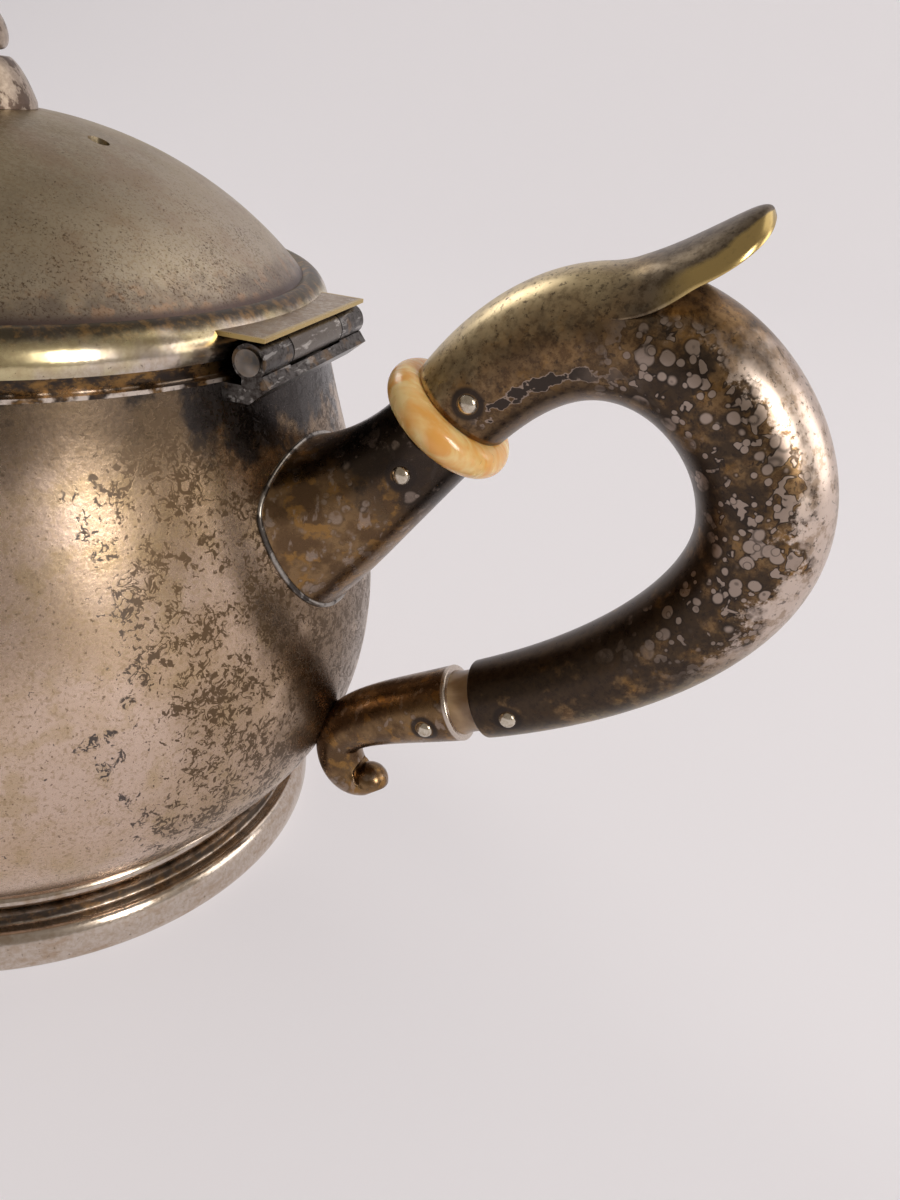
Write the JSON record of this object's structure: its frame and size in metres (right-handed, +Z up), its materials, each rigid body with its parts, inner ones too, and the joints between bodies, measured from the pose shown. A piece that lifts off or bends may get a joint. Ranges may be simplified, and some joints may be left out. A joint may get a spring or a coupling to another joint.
{
  "type": "silver teapot",
  "caption": "Round-bellied silver teapot with a hinged domed lid, button finial, scrolled loop handle with ivory-coloured insulators, thumb leaf, spout and moulded foot.",
  "frame": {"origin": "centre of the foot's underside, on the table", "axes": "+Z up along the pot's axis, +X towards the handle, -X towards the spout, the lid's hinge axis parallel to Y"},
  "size_m": [0.2716, 0.13, 0.1391],
  "materials": {
    "bowl_silver": "satin",
    "polished_silver": "polished",
    "lid_silver": "satin",
    "finial_silver": "satin",
    "handle_silver": "satin",
    "leaf_silver": "polished",
    "hinge_silver": "satin",
    "rivet_silver": "polished",
    "stud_brass": "satin",
    "ivory_ring": "gloss",
    "bone_spool": "satin"
  },
  "bodies": {
    "pot": {"body_shell": "bowl_silver", "mouth_collar": "polished_silver", "foot_ring": "polished_silver", "spout": "bowl_silver", "upper_socket": "handle_silver", "upper_insulator": "ivory_ring", "lower_socket": "handle_silver", "lower_insulator": "bone_spool", "handle_loop": "handle_silver", "thumb_leaf": "leaf_silver", "upper_socket_rivet": "rivet_silver", "upper_handle_rivet": "rivet_silver", "lower_socket_rivet": "rivet_silver", "lower_handle_rivet": "rivet_silver", "hinge_body_leaf": "hinge_silver", "hinge_pin": "hinge_silver"},
    "lid": {"lid_dome": "lid_silver", "lid_rim": "polished_silver", "lid_bezel": "polished_silver", "hinge_lid_leaf": "hinge_silver", "finial_base": "finial_silver", "finial_bud": "finial_silver", "finial_stud": "stud_brass", "finial_washer": "stud_brass", "finial_nut": "stud_brass"}
  },
  "joints": [
    {"name": "lid_hinge", "type": "hinge", "parent": "pot", "child": "lid", "pos_m": [0.05625, 0, 0.0978], "axis": [0, 1, 0], "range_deg": [0, 90]}
  ]
}
